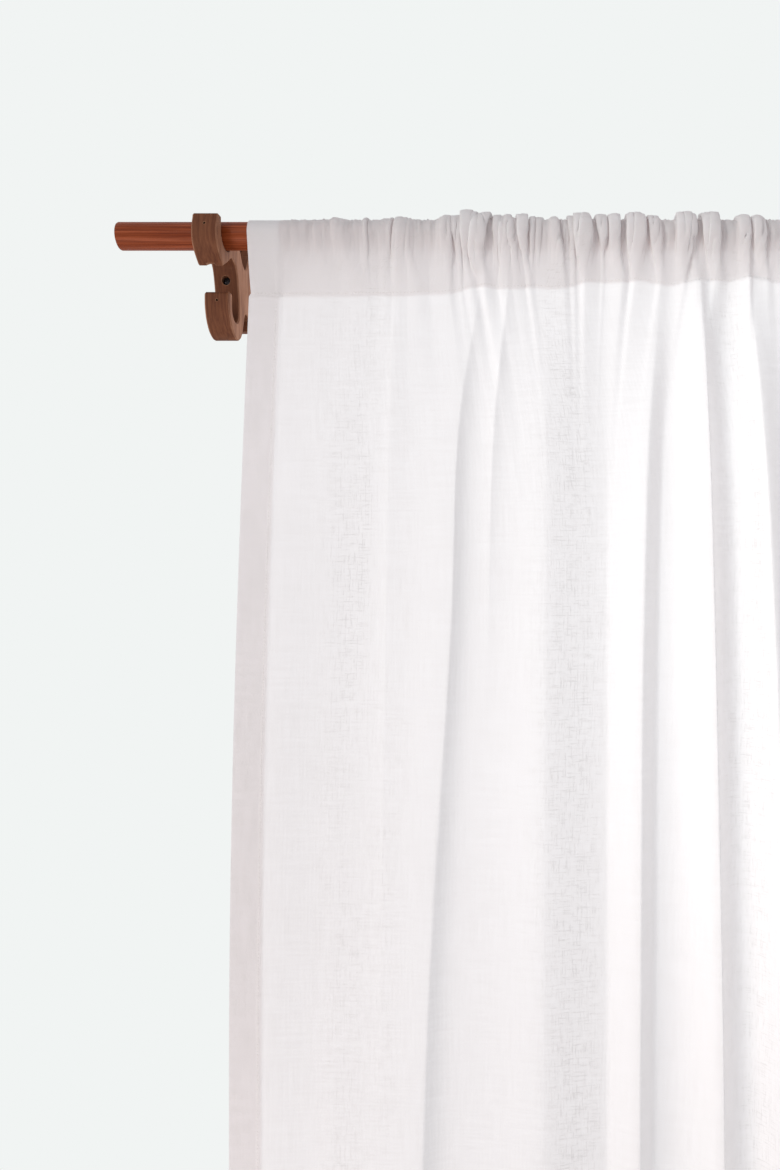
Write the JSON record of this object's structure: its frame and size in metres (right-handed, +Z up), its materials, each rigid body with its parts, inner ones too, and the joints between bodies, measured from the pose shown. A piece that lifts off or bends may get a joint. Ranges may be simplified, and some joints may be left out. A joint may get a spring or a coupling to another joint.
{
  "type": "fabric room curtain panel",
  "caption": "Gathered semi-sheer linen rod-pocket panel on a round wooden rod, carried by two double-scroll wooden wall brackets.",
  "frame": {"origin": "on the wall plane, midway between the two brackets, level with the rod's axis", "axes": "+X along the wall to the right as seen from the room, +Y into the wall, +Z up"},
  "size_m": [1.2, 0.1667, 2.1353],
  "materials": {
    "rod_wood": "glossy reddish-brown varnish",
    "bracket_wood": "satin brown oil, sawn edges",
    "screw_steel": "black, semi-gloss",
    "linen": "off-white semi-sheer slub linen",
    "thread": "off-white sewing thread"
  },
  "bodies": {
    "brackets": {"bracket_left": "bracket_wood", "bracket_right": "bracket_wood", "screw_left_main": "screw_steel", "screw_left_upper": "screw_steel", "screw_right_main": "screw_steel", "screw_right_upper": "screw_steel"},
    "rod": {"rod": "rod_wood"},
    "panel": {"face_panel": "linen", "rod_pocket": "linen", "bottom_hem": "linen", "side_hem_left": "linen", "pocket_hem_left": "linen", "pocket_stitching": "thread", "bottom_hem_stitching": "thread", "side_stitching_left": "thread"},
    "leading_edge": {"side_hem_right": "linen", "pocket_hem_right": "linen", "side_stitching_right": "thread"}
  },
  "joints": [
    {"name": "rod_lift", "type": "slide", "parent": "brackets", "child": "rod", "axis": [0, 0, 1], "range_m": [0, 0.04]},
    {"name": "panel_swing", "type": "hinge", "parent": "rod", "child": "panel", "pos_m": [0, -0.1, 0], "axis": [1, 0, 0], "range_deg": [-20, 2]},
    {"name": "draw", "type": "slide", "parent": "panel", "child": "leading_edge", "axis": [-1, 0, 0], "range_m": [0, 0.476], "deforming": ["face_panel", "rod_pocket", "bottom_hem", "pocket_stitching", "bottom_hem_stitching"]}
  ]
}
